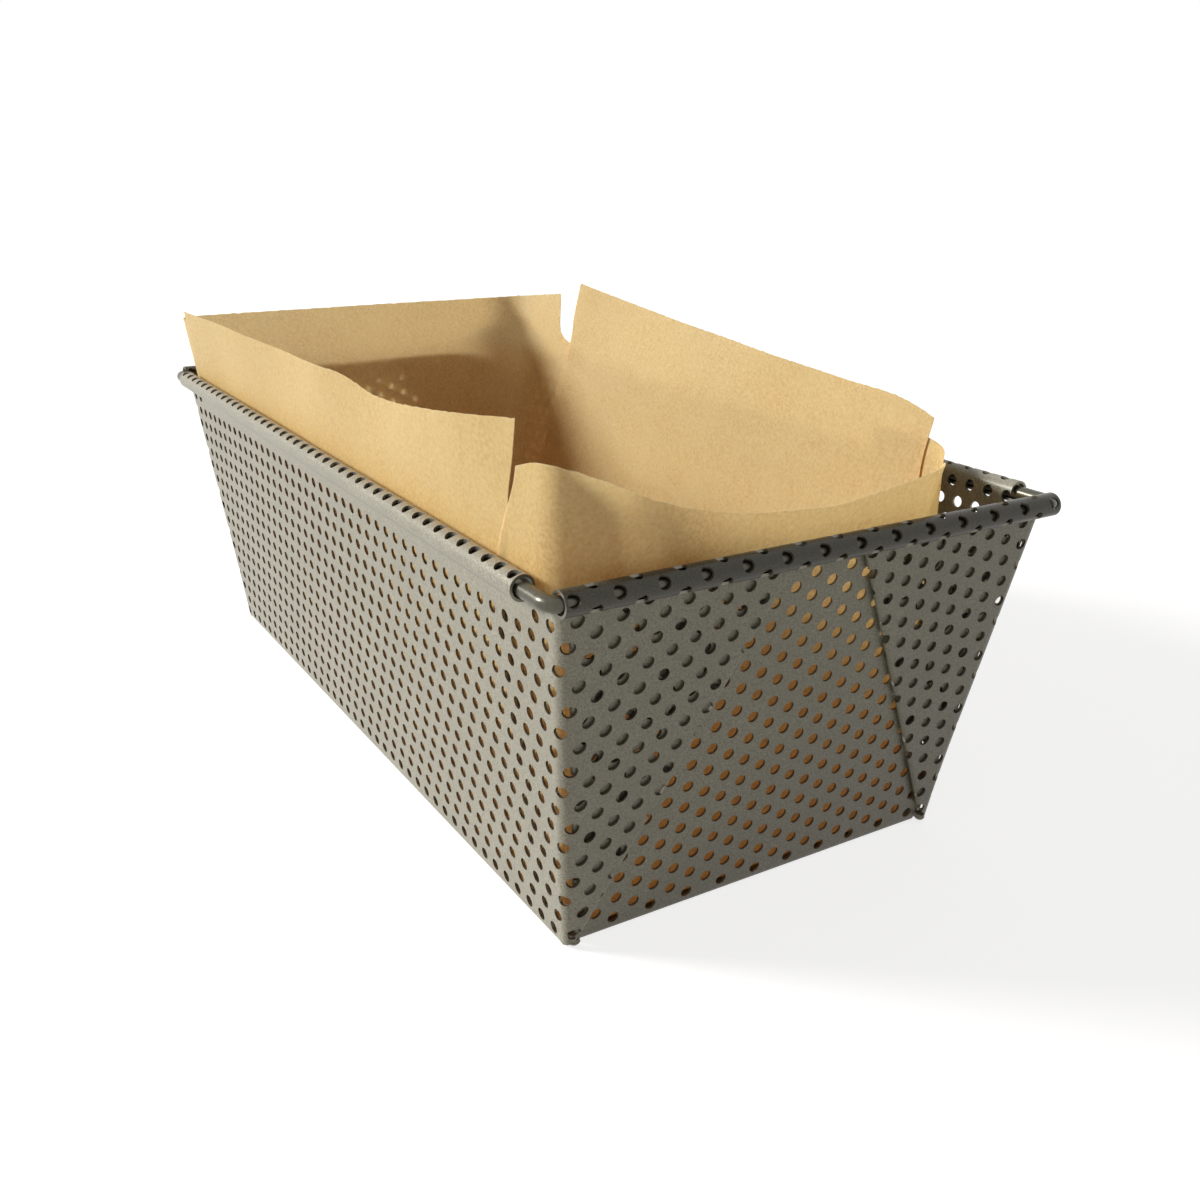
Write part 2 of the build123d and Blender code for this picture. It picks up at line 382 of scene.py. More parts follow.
def finish_sheet(bm, name, nodes, thickness, finish, body, sharp=40):
    """Give a middle surface its thickness and make it a piece."""
    piece = new_object(bm, name)
    mesh = piece.data
    for key in finish:
        mesh.materials.append(get_material(key))
    wall = piece.modifiers.new("Thickness", "SOLIDIFY")
    wall.thickness = thickness
    wall.offset = 0
    wall.use_quality_normals = True
    # The punched and cut edges take the second finish, where there is one
    wall.material_offset_rim = len(finish) - 1
    depsgraph = bpy.context.evaluated_depsgraph_get()
    solid = bpy.data.meshes.new_from_object(piece.evaluated_get(depsgraph), depsgraph=depsgraph)
    piece.modifiers.clear()
    piece.data = solid
    bpy.data.meshes.remove(mesh)
    solid.name = name
    # The piece stands on the table, and no edge is left without a face
    bm = bmesh.new()
    bm.from_mesh(solid)
    for vert in bm.verts:
        vert.co.z = max(vert.co.z, 0)
    for geom, context in ((bm.edges, "EDGES"), (bm.verts, "VERTS")):
        loose = [item for item in geom if not item.link_faces]
        bmesh.ops.delete(bm, geom=loose, context=context)
    bm.to_mesh(solid)
    bm.free()
    return finish_piece(piece, nodes, body, sharp)


def finish_metal(bm, name, cad_node, finish=SHEET_FINISH):
    finish_sheet(bm, name, [cad_node], sizes().sheet, finish, "pan")


# Flat sheet: the blank is punched and trimmed flat at z = 0, then bent, as on a press

def row_step():
    """Distance between two staggered rows of holes."""
    return holes().pitch * sqrt(3) / 2


def crept(spot):
    """How far the pattern of the front has crept along and up the sheet: forward in the middle,
    and back at the ends, as the photograph shows."""
    far = (spot.x / CREEP_DISTANCE) ** 2
    along, rise = (start - loss * far for start, loss in zip(CREEP, CREEP_LOSS))
    return Vector((along, rise, 0)) * MM


def perforated_blank(low, high, first, rows_upright, plain=None, creep=None):
    """Flat blank over a rectangle with its holes punched in staggered rows, one of them at a
    given place. Where plain is true of a hole's centre, the sheet stays whole."""
    pitch, rows = holes().pitch, row_step()
    if rows_upright:
        low, high, first = (low[1], -high[0]), (high[1], -low[0]), (first[1], -first[0])
    bm = bmesh.new()
    bmesh.ops.create_circle(bm, cap_ends=True, segments=HOLE_SIDES, radius=holes().diameter / 2)
    for vert in verts_in(bmesh.ops.extrude_edge_only(bm, edges=bm.edges[:])["geom"]):
        # Every other point goes to a corner of the hexagon round the hole, the rest to its sides
        swing = vert.co.xy.angle_signed(Vector((0, 1)))
        corner = abs(sin(3 * swing)) < 0.5
        vert.co = vert.co.normalized() * (pitch / 2 / cos(pi / 6) if corner else pitch / 2)

    def repeat(vec, steps):
        bmesh.ops.spin(
            bm, geom=everything(bm), axis=UP, dvec=vec, angle=0, steps=steps, use_duplicate=True)

    repeat((pitch, 0, 0), ceil((high[0] - low[0]) / pitch) + 3)
    row = bmesh.ops.duplicate(bm, geom=everything(bm))["geom"]
    bmesh.ops.translate(bm, verts=verts_in(row), vec=(pitch / 2, rows, 0))
    repeat((0, 2 * rows, 0), ceil((high[1] - low[1]) / rows / 2) + 2)
    # Whole steps back from the given hole, to just outside the rectangle
    back_rows = 2 * ceil((first[1] - low[1]) / rows / 2 + 0.5)
    back_columns = ceil((first[0] - low[0]) / pitch) + 1
    start = (first[0] - back_columns * pitch, first[1] - back_rows * rows, 0)
    bmesh.ops.translate(bm, verts=bm.verts, vec=start)
    if rows_upright:
        bmesh.ops.rotate(bm, verts=bm.verts, matrix=Matrix.Rotation(pi / 2, 3, "Z"))
    bmesh.ops.remove_doubles(bm, verts=bm.verts, dist=WELD)
    if creep:
        for vert in bm.verts:
            vert.co += creep(vert.co)
    plugs = [face for face in bm.faces if len(face.verts) == HOLE_SIDES]
    punched = [face for face in plugs if not (plain and plain(face.calc_center_median()))]
    bmesh.ops.delete(bm, geom=punched, context="FACES_ONLY")
    bmesh.ops.recalc_face_normals(bm, faces=bm.faces)
    if sum(face.normal.z for face in bm.faces) < 0:
        bmesh.ops.reverse_faces(bm, faces=bm.faces)
    return bm


def cut(bm, point, way, clear=True, only=None):
    """Cut a mesh along a plane, and clear what lies beyond it on the side of way. With a test,
    only the faces whose middle passes it are cut."""
    faces = [face for face in bm.faces if only is None or only(face.calc_center_median())]
    edges = {edge for face in faces for edge in face.edges}
    verts = {vert for face in faces for vert in face.verts}
    bmesh.ops.bisect_plane(
        bm, geom=faces + list(edges) + list(verts), dist=ON_CUT,
        plane_co=point, plane_no=way, clear_outer=clear)


def keep_largest(bm):
    """Drop the crumbs that a cut has left loose, or hanging by a corner."""
    left, parts = set(bm.faces), []
    while left:
        part = [left.pop()]
        for face in part:
            near = {other for edge in face.edges for other in edge.link_faces} & left
            left -= near
            part.extend(near)
        parts.append(part)
    largest = max(parts, key=len)
    crumbs = [face for part in parts if part is not largest for face in part]
    bmesh.ops.delete(bm, geom=crumbs, context="FACES")


def turned_right(way):
    """A way on a flat blank, a quarter turn to the right."""
    return Vector((way.y, -way.x, 0))


def trim(bm, outline):
    """Trim a flat blank to a convex outline that runs anticlockwise."""
    for start, end in zip(outline, outline[1:] + outline[:1]):
        cut(bm, Vector((*start, 0)), turned_right(Vector(end) - Vector(start)))


def score(bm, hinge, way, radius, turn, steps):
    """Cut the flat sheet across a bend, so that it can curve there."""
    for step in range(steps + 1):
        cut(bm, hinge + way * (radius * turn * step / steps), way, clear=False)


def lay_flat(bm):
    """Remember where each point lies on the flat blank."""
    flat = bm.verts.layers.float_vector.new("flat")
    for vert in bm.verts:
        vert[flat] = vert.co


def bend(bm, hinge, way, radius, turn):
    """Bend the sheet beyond a hinge line round a radius to its middle. A positive turn bends it
    towards +Z. The outermost bend of a blank is made first."""
    flat = bm.verts.layers.float_vector["flat"]
    side = 1 if turn > 0 else -1
    for vert in bm.verts:
        run = (vert[flat] - hinge).dot(way)
        if run <= 0:
            continue
        bent = min(run / radius, abs(turn))
        offset = vert.co - hinge
        beyond = offset.dot(way)
        height = offset.z
        along = offset - way * beyond - UP * height
        ahead = way * cos(bent) + UP * (side * sin(bent))
        above = UP * cos(bent) - way * (side * sin(bent))
        arc = way * (radius * sin(bent)) + UP * (side * radius * (1 - cos(bent)))
        vert.co = hinge + along + arc + ahead * (beyond - radius * bent) + above * height


# Where the panels lie

def lean_of(side):
    size = sizes()
    return atan((size.end_flare if side in ENDS else size.side_flare) / size.wall_height)


def half_base(side):
    """Distance from the middle of the pan to the outer face of a wall at the table."""
    return (sizes().base_length if side in ENDS else sizes().base_width) / 2


def stack_of(side):
    """How far the single sheet of a wall lies inside the outermost face."""
    size = sizes()
    return 2 * (size.fold_gap + size.sheet) if side in ENDS else 0


def panel_frame(side, depth=0, along=None):
    """Frame of a wall, a depth inside its outermost face: X along it, Y up its slope, Z out."""
    lean, out = lean_of(side), OUTWARD[side]
    along = along or UP.cross(out)
    normal = out * cos(lean) - UP * sin(lean)
    slope = out * sin(lean) + UP * cos(lean)
    place = Matrix((along, slope, normal)).transposed().to_4x4()
    place.translation = out * (half_base(side) - depth / cos(lean))
    return place


def corner_bend(side, end):
    """The bend between a long wall and an end: foot and direction of the line that it turns about,
    the ways out of both walls, the turn between them, and the way across it."""
    out, out_end = (panel_frame(wall).col[2].to_3d() for wall in (side, end))
    way = out.cross(out_end).normalized()
    way = way if way.z > 0 else -way
    x, y = (half_base(wall) - sizes().corner_bend / cos(lean_of(wall)) for wall in (end, side))
    turn = acos(out.dot(out_end))
    across = (out_end - out * cos(turn)).normalized()
    return OUTWARD[end] * x + OUTWARD[side] * y, way, out, out_end, turn, across


def half_width(side, rise, depth=0):
    """Half the width of a wall at a rise up its slope, out to where the corner bend starts."""
    foot, way, *_ = corner_bend(*(("back", side) if side in ENDS else (side, "right")))
    back = panel_frame(side, depth).inverted()
    low, high = back @ foot, back @ (foot + way * sizes().wall_height)
    return abs(low.x + (rise - low.y) / (high.y - low.y) * (high.x - low.x))


def bend_run(side):
    """Length that the bend at the base takes from each of its two flat legs."""
    return sizes().base_bend * tan((pi / 2 - lean_of(side)) / 2)


def seam_rise(side):
    """Rise of the seam between wall and base on the flat blank, where the base bend ends."""
    radius = sizes().base_bend - sizes().sheet / 2
    return bend_run(side) - radius * (pi / 2 - lean_of(side))


def stand_panel(bm, side, outline, hinge, way, radius, turn, steps):
    """Trim a blank, bend it across a hinge line, and stand it in the place of a wall."""
    trim(bm, outline)
    score(bm, hinge, way, radius, abs(turn), steps)
    lay_flat(bm)
    bend(bm, hinge, way, radius, turn)
    place = panel_frame(side, stack_of(side) + sizes().sheet / 2)
    bmesh.ops.transform(bm, verts=bm.verts, matrix=place)


class LoafPanBase(Operator):
    """Punch and trim the base"""
    bl_idname = "loaf_pan.base"
    bl_label = "Base"

    def execute(self, context):
        size, hole = sizes(), holes()
        x = half_base("right") - stack_of("right") / cos(lean_of("right")) - bend_run("right")
        y = half_base("front") - bend_run("front")
        if abs(x - BASE_BOX[1].x) > NEAR or abs(y - BASE_BOX[1].y) > NEAR:
            raise RuntimeError("The base doesn't fit the frame: %.5f %.5f" % (x, y))
        # The pattern runs on from the front wall round its bend
        steps = round((hole.front[1] - seam_rise("front")) / row_step())
        rise = hole.front[1] - steps * row_step()
        first = (hole.front[0] - steps * hole.pitch / 2, -y + seam_rise("front") - rise)
        edge = hole.diameter / 2 + WHOLE_EDGE

        def plain(spot):
            return abs(spot.x) > x - edge or abs(spot.y) > y - edge

        bm = perforated_blank((-x, -y), (x, y), first, False, plain)
        trim(bm, [(-x, -y), (x, -y), (x, y), (-x, y)])
        # Outer face down
        bmesh.ops.reverse_faces(bm, faces=bm.faces)
        bmesh.ops.translate(bm, verts=bm.verts, vec=(0, 0, size.sheet / 2))
        finish_metal(bm, "perforated_base", "base_panel")
        return {"FINISHED"}


def add_wall(side):
    size, hole = sizes(), holes()
    depth, lean = stack_of(side), lean_of(side)
    seam = seam_rise(side)
    high = size.wall_height / cos(lean)
    foot, head = half_width(side, seam, depth), half_width(side, high, depth)
    first = hole.end if side in ENDS else getattr(hole, side)

    def plain(spot):
        bare = spot.y > hole.bare_from and abs(spot.x) < hole.bare_half
        return (side == "front" and bare) or spot.y < seam + hole.diameter / 2 + WHOLE_EDGE

    creep = crept if side == "front" else None
    bm = perforated_blank((-head, seam), (head, high), first, side in ENDS, plain, creep)
    stand_panel(
        bm, side, [(-foot, seam), (foot, seam), (head, high), (-head, high)],
        Vector((0, bend_run(side), 0)), Vector((0, -1, 0)), size.base_bend - size.sheet / 2,
        lean - pi / 2, BASE_STEPS)
    suffix = "_end_wall" if side in ENDS else "_wall"
    finish_metal(bm, "perforated_" + side, side + suffix)


class LoafPanWalls(Operator):
    """Punch and trim the four walls, and bend each one up from the base"""
    bl_idname = "loaf_pan.walls"
    bl_label = "Walls"

    def execute(self, context):
        for side in OUTWARD:
            add_wall(side)
        return {"FINISHED"}


def add_roll(side):
    size, hole = sizes(), holes()
    radius, lean = size.roll_radius - size.sheet / 2, lean_of(side)
    low = size.wall_height / cos(lean)
    roll_height = size.wall_height + size.roll_radius
    start = roll_height / cos(lean) + (size.roll_radius - size.sheet) * tan(lean)
    turn = pi - lean + size.roll_close
    high = start + radius * turn
    half = size.end_roll_half if side in ENDS else size.long_roll_half
    first, plain, creep = hole.end_roll, None, None
    if side == "front":
        # One row of holes, on the crest
        first = hole.front_roll
        plain = lambda spot: abs(spot.y - first[1]) > hole.pitch / 2
        creep = lambda spot: Vector((crept(spot).x, 0, 0))
    elif side == "back":
        # The wall's rows run on, as far as the crest
        first = hole.back
        plain = lambda spot: spot.y > first[1] + row_step() + hole.pitch / 2
    bm = perforated_blank((-half, low), (half, high), first, side in ENDS, plain, creep)
    stand_panel(
        bm, side, [(-half, low), (half, low), (half, high), (-half, high)],
        Vector((0, start, 0)), Vector((0, 1, 0)), radius, turn, ROLL_STEPS)
    # The ends' rolls get painted shade: the coat drawn darker where they lie in shade
    finish = SHADED_ROLL_FINISH if side in ENDS else SHEET_FINISH
    finish_metal(bm, "rolled_rim_" + side, side + "_rim_roll", finish)


class LoafPanRolls(Operator):
    """Roll the top of each wall outward and down round the rim wire"""
    bl_idname = "loaf_pan.rolls"
    bl_label = "Rolled rims"

    def execute(self, context):
        for side in OUTWARD:
            add_roll(side)
        return {"FINISHED"}


def fold_corner(side, end):
    size, hole = sizes(), holes()
    mid = size.sheet / 2
    bend_radius = size.corner_bend - mid
    fold_radius = size.fold_gap / 2 + mid
    # Both frames run towards the corner
    long_frame = panel_frame(side, mid, OUTWARD[end])
    end_frame = panel_frame(end, mid, OUTWARD[side])
    foot, way, out, _, turn, _ = corner_bend(side, end)
    zone = bend_radius * turn

    def on_panel(place):
        spot = place.inverted() @ foot
        run = place.inverted().to_3x3() @ way
        return Vector((spot.x, spot.y, 0)), Vector((run.x, run.y, 0)).normalized()

    bend_start, bend_way = on_panel(long_frame)
    leaf_start, leaf_way = on_panel(end_frame)
    bend_out, leaf_in = turned_right(bend_way), -turned_right(leaf_way)

    def on_blank(x, y):
        """A place on the outer leaf, moved to the flat blank."""
        offset = Vector((x, y, 0)) - leaf_start
        along, inward = offset.dot(leaf_way), offset.dot(leaf_in)
        return bend_start + bend_way * along + bend_out * (inward + zone)

    # The fold's line on the end wall, and the tip where it meets the corner bend
    end_lean, side_lean = lean_of(end), lean_of(side)
    angle_of_leaf = (pi / 2 - end_lean - side_lean) / 2 - size.fold_give
    fold_lean = angle_of_leaf - atan(tan(side_lean) * cos(end_lean))
    high = (size.wall_height - size.pleat_drop) / cos(end_lean)

    def fold_edge(rise):
        start = half_base(side) - tan(fold_lean) * rise
        return start - (fold_radius + mid) / cos(fold_lean)

    low_edge, head_edge = half_width(end, 0), half_width(end, high)
    low = (fold_edge(0) - low_edge) / ((head_edge - low_edge) / high + tan(fold_lean))
    tip, fold_top = on_blank(fold_edge(low), low), on_blank(fold_edge(high), high)
    fold_out = turned_right((fold_top - tip).normalized())

    def mirrored(spot):
        """A place on the outer leaf, moved to the inner leaf of the blank."""
        return spot + fold_out * (pi * fold_radius - 2 * (spot - tip).dot(fold_out))

    leaf_edge = bend_start + bend_out * zone
    hem, hem_top = mirrored(tip), mirrored(leaf_edge + bend_way * size.wall_height)
    hem_out = turned_right((hem_top - hem).normalized())
    hem_end = hem + hem_out * (pi * fold_radius)

    way_along = long_frame.col[0].to_3d().dot(panel_frame(side).col[0].to_3d())
    first = (getattr(hole, side)[0] * way_along, getattr(hole, side)[1])
    shift = hole.front_fold if side == "front" else hole.back_fold
    edge = hole.diameter / 2 + WHOLE_CORNER_EDGE

    def creep(spot):
        """From the creep of the wall at the bend to that of the fold."""
        offset = Vector((spot.x, spot.y, 0)) - bend_start
        on_bend = bend_start + bend_way * offset.dot(bend_way)
        near = crept(on_bend * way_along) if side == "front" else Vector()
        share = min(max(offset.dot(bend_out) / CREEP_BLEND, 0), 1)
        return Vector((near.x * way_along, near.y, 0)).lerp(Vector((*shift, 0)), share)

    def plain(spot):
        return (spot - bend_start).dot(bend_way) < size.base_bend / way.z + edge

    # The blank reaches a little past the corner's foot, and past its hem at the top
    left, reach = bend_start.x - 2 * MM, size.wall_height * 1.12
    bm = perforated_blank(
        (left, -2 * MM), (left + reach * 1.25, reach), first, False, plain, creep)
    cut(bm, bend_start, -bend_out)
    cut(bm, bend_start + bend_way * (size.base_bend / way.z), -bend_way)
    cut(bm, hem_end, hem_out)
    cut(bm, leaf_edge, bend_out, clear=False)
    cut(bm, tip, turned_right(hem_end - tip),
        only=lambda spot: (spot - leaf_edge).dot(bend_out) > 0)
    score(bm, bend_start, bend_out, bend_radius, turn, CORNER_STEPS)
    score(bm, tip, fold_out, fold_radius, pi, FOLD_STEPS)
    score(bm, hem, hem_out, fold_radius, pi, FOLD_STEPS)
    lay_flat(bm)
    bend(bm, hem, hem_out, fold_radius, pi)
    bend(bm, tip, fold_out, fold_radius, -pi)
    bend(bm, bend_start, bend_out, bend_radius, -turn)
    bmesh.ops.transform(bm, verts=bm.verts, matrix=long_frame)
    tighten(bm, side, end)
    cut(bm, Vector((0, 0, size.base_bend)), -UP,
        only=lambda spot: (spot - foot).dot(out) < -OFF_BEND)
    add_foot(bm, side, end)
    cut(bm, Vector((0, 0, size.wall_height - size.pleat_drop)), UP)
    keep_largest(bm)
    if long_frame.determinant() < 0:
        bmesh.ops.reverse_faces(bm, faces=bm.faces)
    name = side + "_" + end
    finish_metal(bm, "folded_corner_" + name, name + "_pleat")


def tighten(bm, side, end):
    """Narrow the corner bend towards the foot, where the blank is pressed to a point."""
    size = sizes()
    radius = size.corner_bend - size.sheet / 2
    foot, way, out, out_end, turn, across = corner_bend(side, end)
    for vert in bm.verts:
        centre = foot + way * (vert.co - foot).dot(way)
        arm = vert.co - centre
        swing = atan2(arm.dot(across), arm.dot(out))
        if not 0 <= swing <= turn or abs(arm.length - radius) > OFF_BEND:
            continue
        opened = min(vert.co.z / size.foot_height, 1)
        tight = size.foot_bend + (radius - size.foot_bend) * opened * (2 - opened)
        straight = (radius - tight) * tan(turn / 2)
        corner = centre + (out + out_end) * ((radius - tight) / (1 + cos(turn)))
        run = swing / turn * (2 * straight + tight * turn)
        if run < straight:
            vert.co = centre + out * radius + across * run
        elif run < straight + tight * turn:
            bow = (run - straight) / tight
            vert.co = corner + (out * cos(bow) + across * sin(bow)) * tight
        else:
            ahead = across * cos(turn) - out * sin(turn)
            left = 2 * straight + tight * turn - run
            vert.co = centre + out_end * radius - ahead * left


def add_foot(bm, side, end):
    """Turn the lower edge of the corner bend under, down to the table."""
    size = sizes()
    radius, level = size.base_bend - size.sheet / 2, size.sheet / 2
    foot, way, out, out_end, turn, across = corner_bend(side, end)

    def on_edge(vert):
        arm = vert.co - foot
        return (abs(arm.dot(way) - size.base_bend / way.z) < NEAR
                and min(arm.dot(out), arm.dot(out_end)) > -PAST_BEND
                and arm.length < size.corner_bend * 2)

    edges = [edge for edge in bm.edges
             if edge.is_boundary and all(on_edge(vert) for vert in edge.verts)]
    starts = {}
    for vert in {vert for edge in edges for vert in edge.verts}:
        # The sheet turns inward at the long wall, and straight down at the end
        arm = vert.co - foot
        swing = min(max(atan2(arm.dot(across), arm.dot(out)), 0), turn)
        face = out * cos(swing) + across * sin(swing)
        inward = (face - UP * face.z).normalized() * (1 - swing / turn)
        starts[tuple(vert.co)] = (vert.co.copy(), inward)
    for step in range(1, FOOT_STEPS + 1):
        bow = pi / 2 * step / FOOT_STEPS
        made = bmesh.ops.extrude_edge_only(bm, edges=edges)["geom"]
        edges, moved = edges_in(made), {}
        for vert in verts_in(made):
            start, inward = starts[tuple(vert.co)]
            drop = way * ((start.z - level) / way.z * sin(bow))
            vert.co = start - drop - inward * (radius * (1 - cos(bow)))
            moved[tuple(vert.co)] = (start, inward)
        starts = moved


class LoafPanPleats(Operator):
    """Bend the long walls round the corners and fold them back against the ends"""
    bl_idname = "loaf_pan.pleats"
    bl_label = "Folded corners"

    def execute(self, context):
        for side in ("front", "back"):
            for end in ENDS:
                fold_corner(side, end)
        return {"FINISHED"}


class LoafPanWire(Operator):
    """Bend the rim wire into a closed frame"""
    bl_idname = "loaf_pan.wire"
    bl_label = "Rim wire"

    def execute(self, context):
        radius, turn = sizes().wire_radius, sizes().wire_bend
        x, y = WIRE_BOX[1].x - radius - turn, WIRE_BOX[1].y - radius - turn
        level = (WIRE_BOX[0].z + WIRE_BOX[1].z) / 2
        bm = bmesh.new()
        place = Matrix.Translation((x, -y - turn, level)) @ Matrix.Rotation(pi / 2, 4, "Y")
        bmesh.ops.create_circle(bm, segments=WIRE_SIDES, radius=radius, matrix=place)
        edges = bm.edges[:]
        corners = [Vector((*spot, level)) for spot in ((x, -y), (x, y), (-x, y), (-x, -y))]
        for corner, following in zip(corners, corners[1:] + corners[:1]):
            made = bmesh.ops.spin(
                bm, geom=edges, cent=corner, axis=UP, dvec=(0, 0, 0), angle=pi / 2,
                steps=WIRE_STEPS)["geom_last"]
            made = bmesh.ops.extrude_edge_only(bm, edges=edges_in(made))["geom"]
            edges = edges_in(made)
            bmesh.ops.translate(bm, verts=verts_in(made), vec=following - corner)
        bmesh.ops.remove_doubles(bm, verts=bm.verts, dist=SAME)
        bmesh.ops.recalc_face_normals(bm, faces=bm.faces)
        piece = new_object(bm, "rim_wire_frame")
        piece.data.materials.append(get_material("drawn_steel_wire"))
        finish_piece(piece, ["rim_wire"], "pan")
        return {"FINISHED"}


# Paper liner. Each flap is a strip of the one sheet: it starts at its edge of the base, goes up
# its wall, and its ends go on round the corners of the pan as far as the slits. Tables are in
# millimetres.

# How high the top edge of each flap stands, by the distance along it, anticlockwise round the pan
TOP_EDGES = {
    "front": [(0, 97.6), (31, 98.1), (63, 98.2), (94, 98.5), (118, 99.1), (126, 99.2),
              (134, 98.3), (141, 97.4), (149, 97.5), (160, 98.5), (204, 104.6)],
    "right": [(0, 96.5), (6.2, 98.6), (12.4, 98.7), (18.6, 96.6), (31, 91.3), (43.4, 87.6),
              (56, 85.4), (68, 84.5), (75, 84.2), (81, 85), (93, 86.8), (101, 87.8), (108, 87),
              (119, 84.2), (130, 82.6), (137, 82.8), (146, 84.1), (161, 84)],
    "back": [(0, 88.8), (6, 90.6), (12, 91.8), (18, 92.3), (30, 92.7), (49, 93.9), (67, 95.2),
             (91, 97.1), (122, 99.4), (140, 101.1), (159, 103.4)],
    "left": [(0, 98.7), (12, 97.2), (24, 95.8), (35, 95), (88, 95), (124, 94.8), (141, 94.6),
             (153, 94)],
}

# Where each slit's edge lies along its long wall, by height, and how far the right flap is folded
# away from the back corner
SLITS = {
    "front_start": [(0, -98), (70, -105), (80, -105.5), (98, -105.5)],
    "front_end": [(0, 98), (60, 93.5), (88, 97.7), (96, 100.7), (104, 103.5)],
    "right_start": [(0, 86), (70, 88.5), (76, 91.4), (84, 96), (92, 101), (96, 102.7)],
    "right_fold": [(0, 0), (40, 10), (78, 17), (90, 14.8)],
    "right_end": [(0, 88), (90, 64)],
    "back_start": [(0, 98), (30, 89), (60, 84), (76, 82.3), (88, 83.9)],
    "back_end": [(0, -98), (84, -74.7), (92, -74.3), (104, -71.4)],
    "left_start": [(0, -60), (76, -62), (80, -66), (83, -77), (85, -81.9), (96, -84.5)],
    "left_end": [(0, -88), (90, -103)],
}

# Height where the distances of TOP_EDGES are measured, the radii that the ends' flaps have there at
# their corners, how far out the right one turns back there, and the height over which two layers
# move apart at the foot
FULL_HEIGHT, CORNER_RADII = 90 * MM, {"right": (9, 10, 12), "left": (30, 3)}
TURN_BACK, LAP_HEIGHT = 87.2 * MM, 1.5

# Rows of a flap's mesh in the crease, on the wall and above the rim, the first row of a strip that
# is slit from the base, and the steps of a rounded corner
CREASE_ROWS, WALL_ROWS, FREE_ROWS, SLIT_ROW, CURVE_STEPS = 5, 14, 16, 3, 10

# Size of the paper's waves and their share of it in height, the heights over which they grow from
# the base and above the rim, and how strong they are below and above it
WAVE_SIZE, WAVE_TALL, WAVE_ROOM, WAVE_FREE = 34 * MM, 0.6, 12 * MM, 30 * MM
WAVE_HELD, WAVE_LOOSE = 0.5, 1.2

# Steps in the noise from one column of the cut edge to the next, and from one side to another
RAGGED_STEP, RAGGED_SIDE = 0.8, 7


def even_steps(start, end, count):
    """Places in equal steps from a start, which is left out, to an end."""
    return [start + (end - start) * k / count for k in range(1, count + 1)]


def smooth_curve(points, where):
    """Value on a smooth curve through a few points in order, straight on beyond its ends."""
    for index in range(len(points) - 1):
        (x1, y1), (x2, y2) = points[index], points[index + 1]
        if where <= x2:
            break
    x0, y0 = points[max(index - 1, 0)]
    x3, y3 = points[min(index + 2, len(points) - 1)]
    slope1, slope2 = (y2 - y0) / (x2 - x0), (y3 - y1) / (x3 - x1)
    run = x2 - x1
    t = (where - x1) / run
    if t < 0:
        return y1 + slope1 * (where - x1)
    if t > 1:
        return y2 + slope2 * (where - x2)
    return ((2 * t ** 3 - 3 * t ** 2 + 1) * y1 + (t ** 3 - 2 * t ** 2 + t) * run * slope1
            + (3 * t ** 2 - 2 * t ** 3) * y2 + (t ** 3 - t ** 2) * run * slope2)


def rounded_path(points, radii):
    """Points along a line whose inner corners are rounded."""
    path = [points[0]]
    for before, corner, after, radius in zip(points, points[1:], points[2:], radii):
        arrive, leave = corner - before, after - corner
        if min(arrive.length, leave.length, radius) < SAME:
            path.append(corner)
            continue
        bow = arrive.angle(leave)
        back = min(radius * tan(bow / 2), 0.49 * arrive.length, 0.49 * leave.length)
        start, end = corner - arrive.normalized() * back, corner + leave.normalized() * back
        for step in range(CURVE_STEPS + 1):
            t = step / CURVE_STEPS
            path.append(start * (1 - t) ** 2 + corner * (2 * t * (1 - t)) + end * t ** 2)
    path.append(points[-1])
    return path


def path_length(path):
    return sum((b - a).length for a, b in zip(path, path[1:]))


def along_path(path, share):
    """The place at a share of a path's length, and the way out of the pan there."""
    left = share * path_length(path)
    steps = list(zip(path, path[1:]))
    while len(steps) > 1 and left > (steps[0][1] - steps[0][0]).length:
        left -= (steps[0][1] - steps[0][0]).length
        steps.pop(0)
    way = (steps[0][1] - steps[0][0]).normalized()
    return steps[0][0] + way * left, Vector((way.y, -way.x))


def paper_line(side, height):
    """Distance from the middle of the pan to the paper on a side, at a height over its seat."""
    liner, lean = liner_sizes(), lean_of(side)
    depth = stack_of(side) + sizes().sheet + liner.side_gap
    turn = pi / 2 - lean
    wall = half_base(side) - depth / cos(lean) + liner.seat * tan(lean)
    foot = wall - liner.crease * tan(turn / 2)
    bent = liner.crease * (1 - cos(turn))
    if height < bent:
        return foot + liner.crease * sin(acos(1 - height / liner.crease))
    return foot + liner.crease * sin(turn) + (height - bent) * tan(lean)


def paper_plan(side, height):
    """Corners of a flap's line seen from above at a height, anticlockwise, and their radii."""
    x, y = paper_line("right", height), paper_line("front", height)
    foot_x, foot_y = paper_line("right", 0), paper_line("front", 0)
    level, share = height / MM, height / FULL_HEIGHT
    lap = liner_sizes().lap * min(1, level / LAP_HEIGHT)
    radii = [radius * MM * share for radius in CORNER_RADII.get(side, ())]

    def slit(key):
        """Place of a slit's edge. On a long wall it starts at the corner of the base."""
        places = list(SLITS[key])
        if side not in ENDS:
            places[0] = (0, foot_x / MM * (1 if places[0][1] > 0 else -1))
        return smooth_curve(places, level) * MM

    if side in ("front", "back"):
        wall = -y if side == "front" else y
        corners = [(slit(side + "_start"), wall), (slit(side + "_end"), wall)]
    elif side == "right":
        turn_x = foot_x + (TURN_BACK - foot_x) * share
        corners = [(slit("right_start"), -y - lap), (x, -y - lap),
                   (x, foot_y - slit("right_fold")), (turn_x, y + lap),
                   (min(slit("right_end"), turn_x - MM), y + lap)]
    else:
        corners = [(slit("left_start"), y + lap), (-x, y + lap),
                   (-x, lap - y), (slit("left_end"), lap - y)]
    return [Vector(spot) for spot in corners], radii


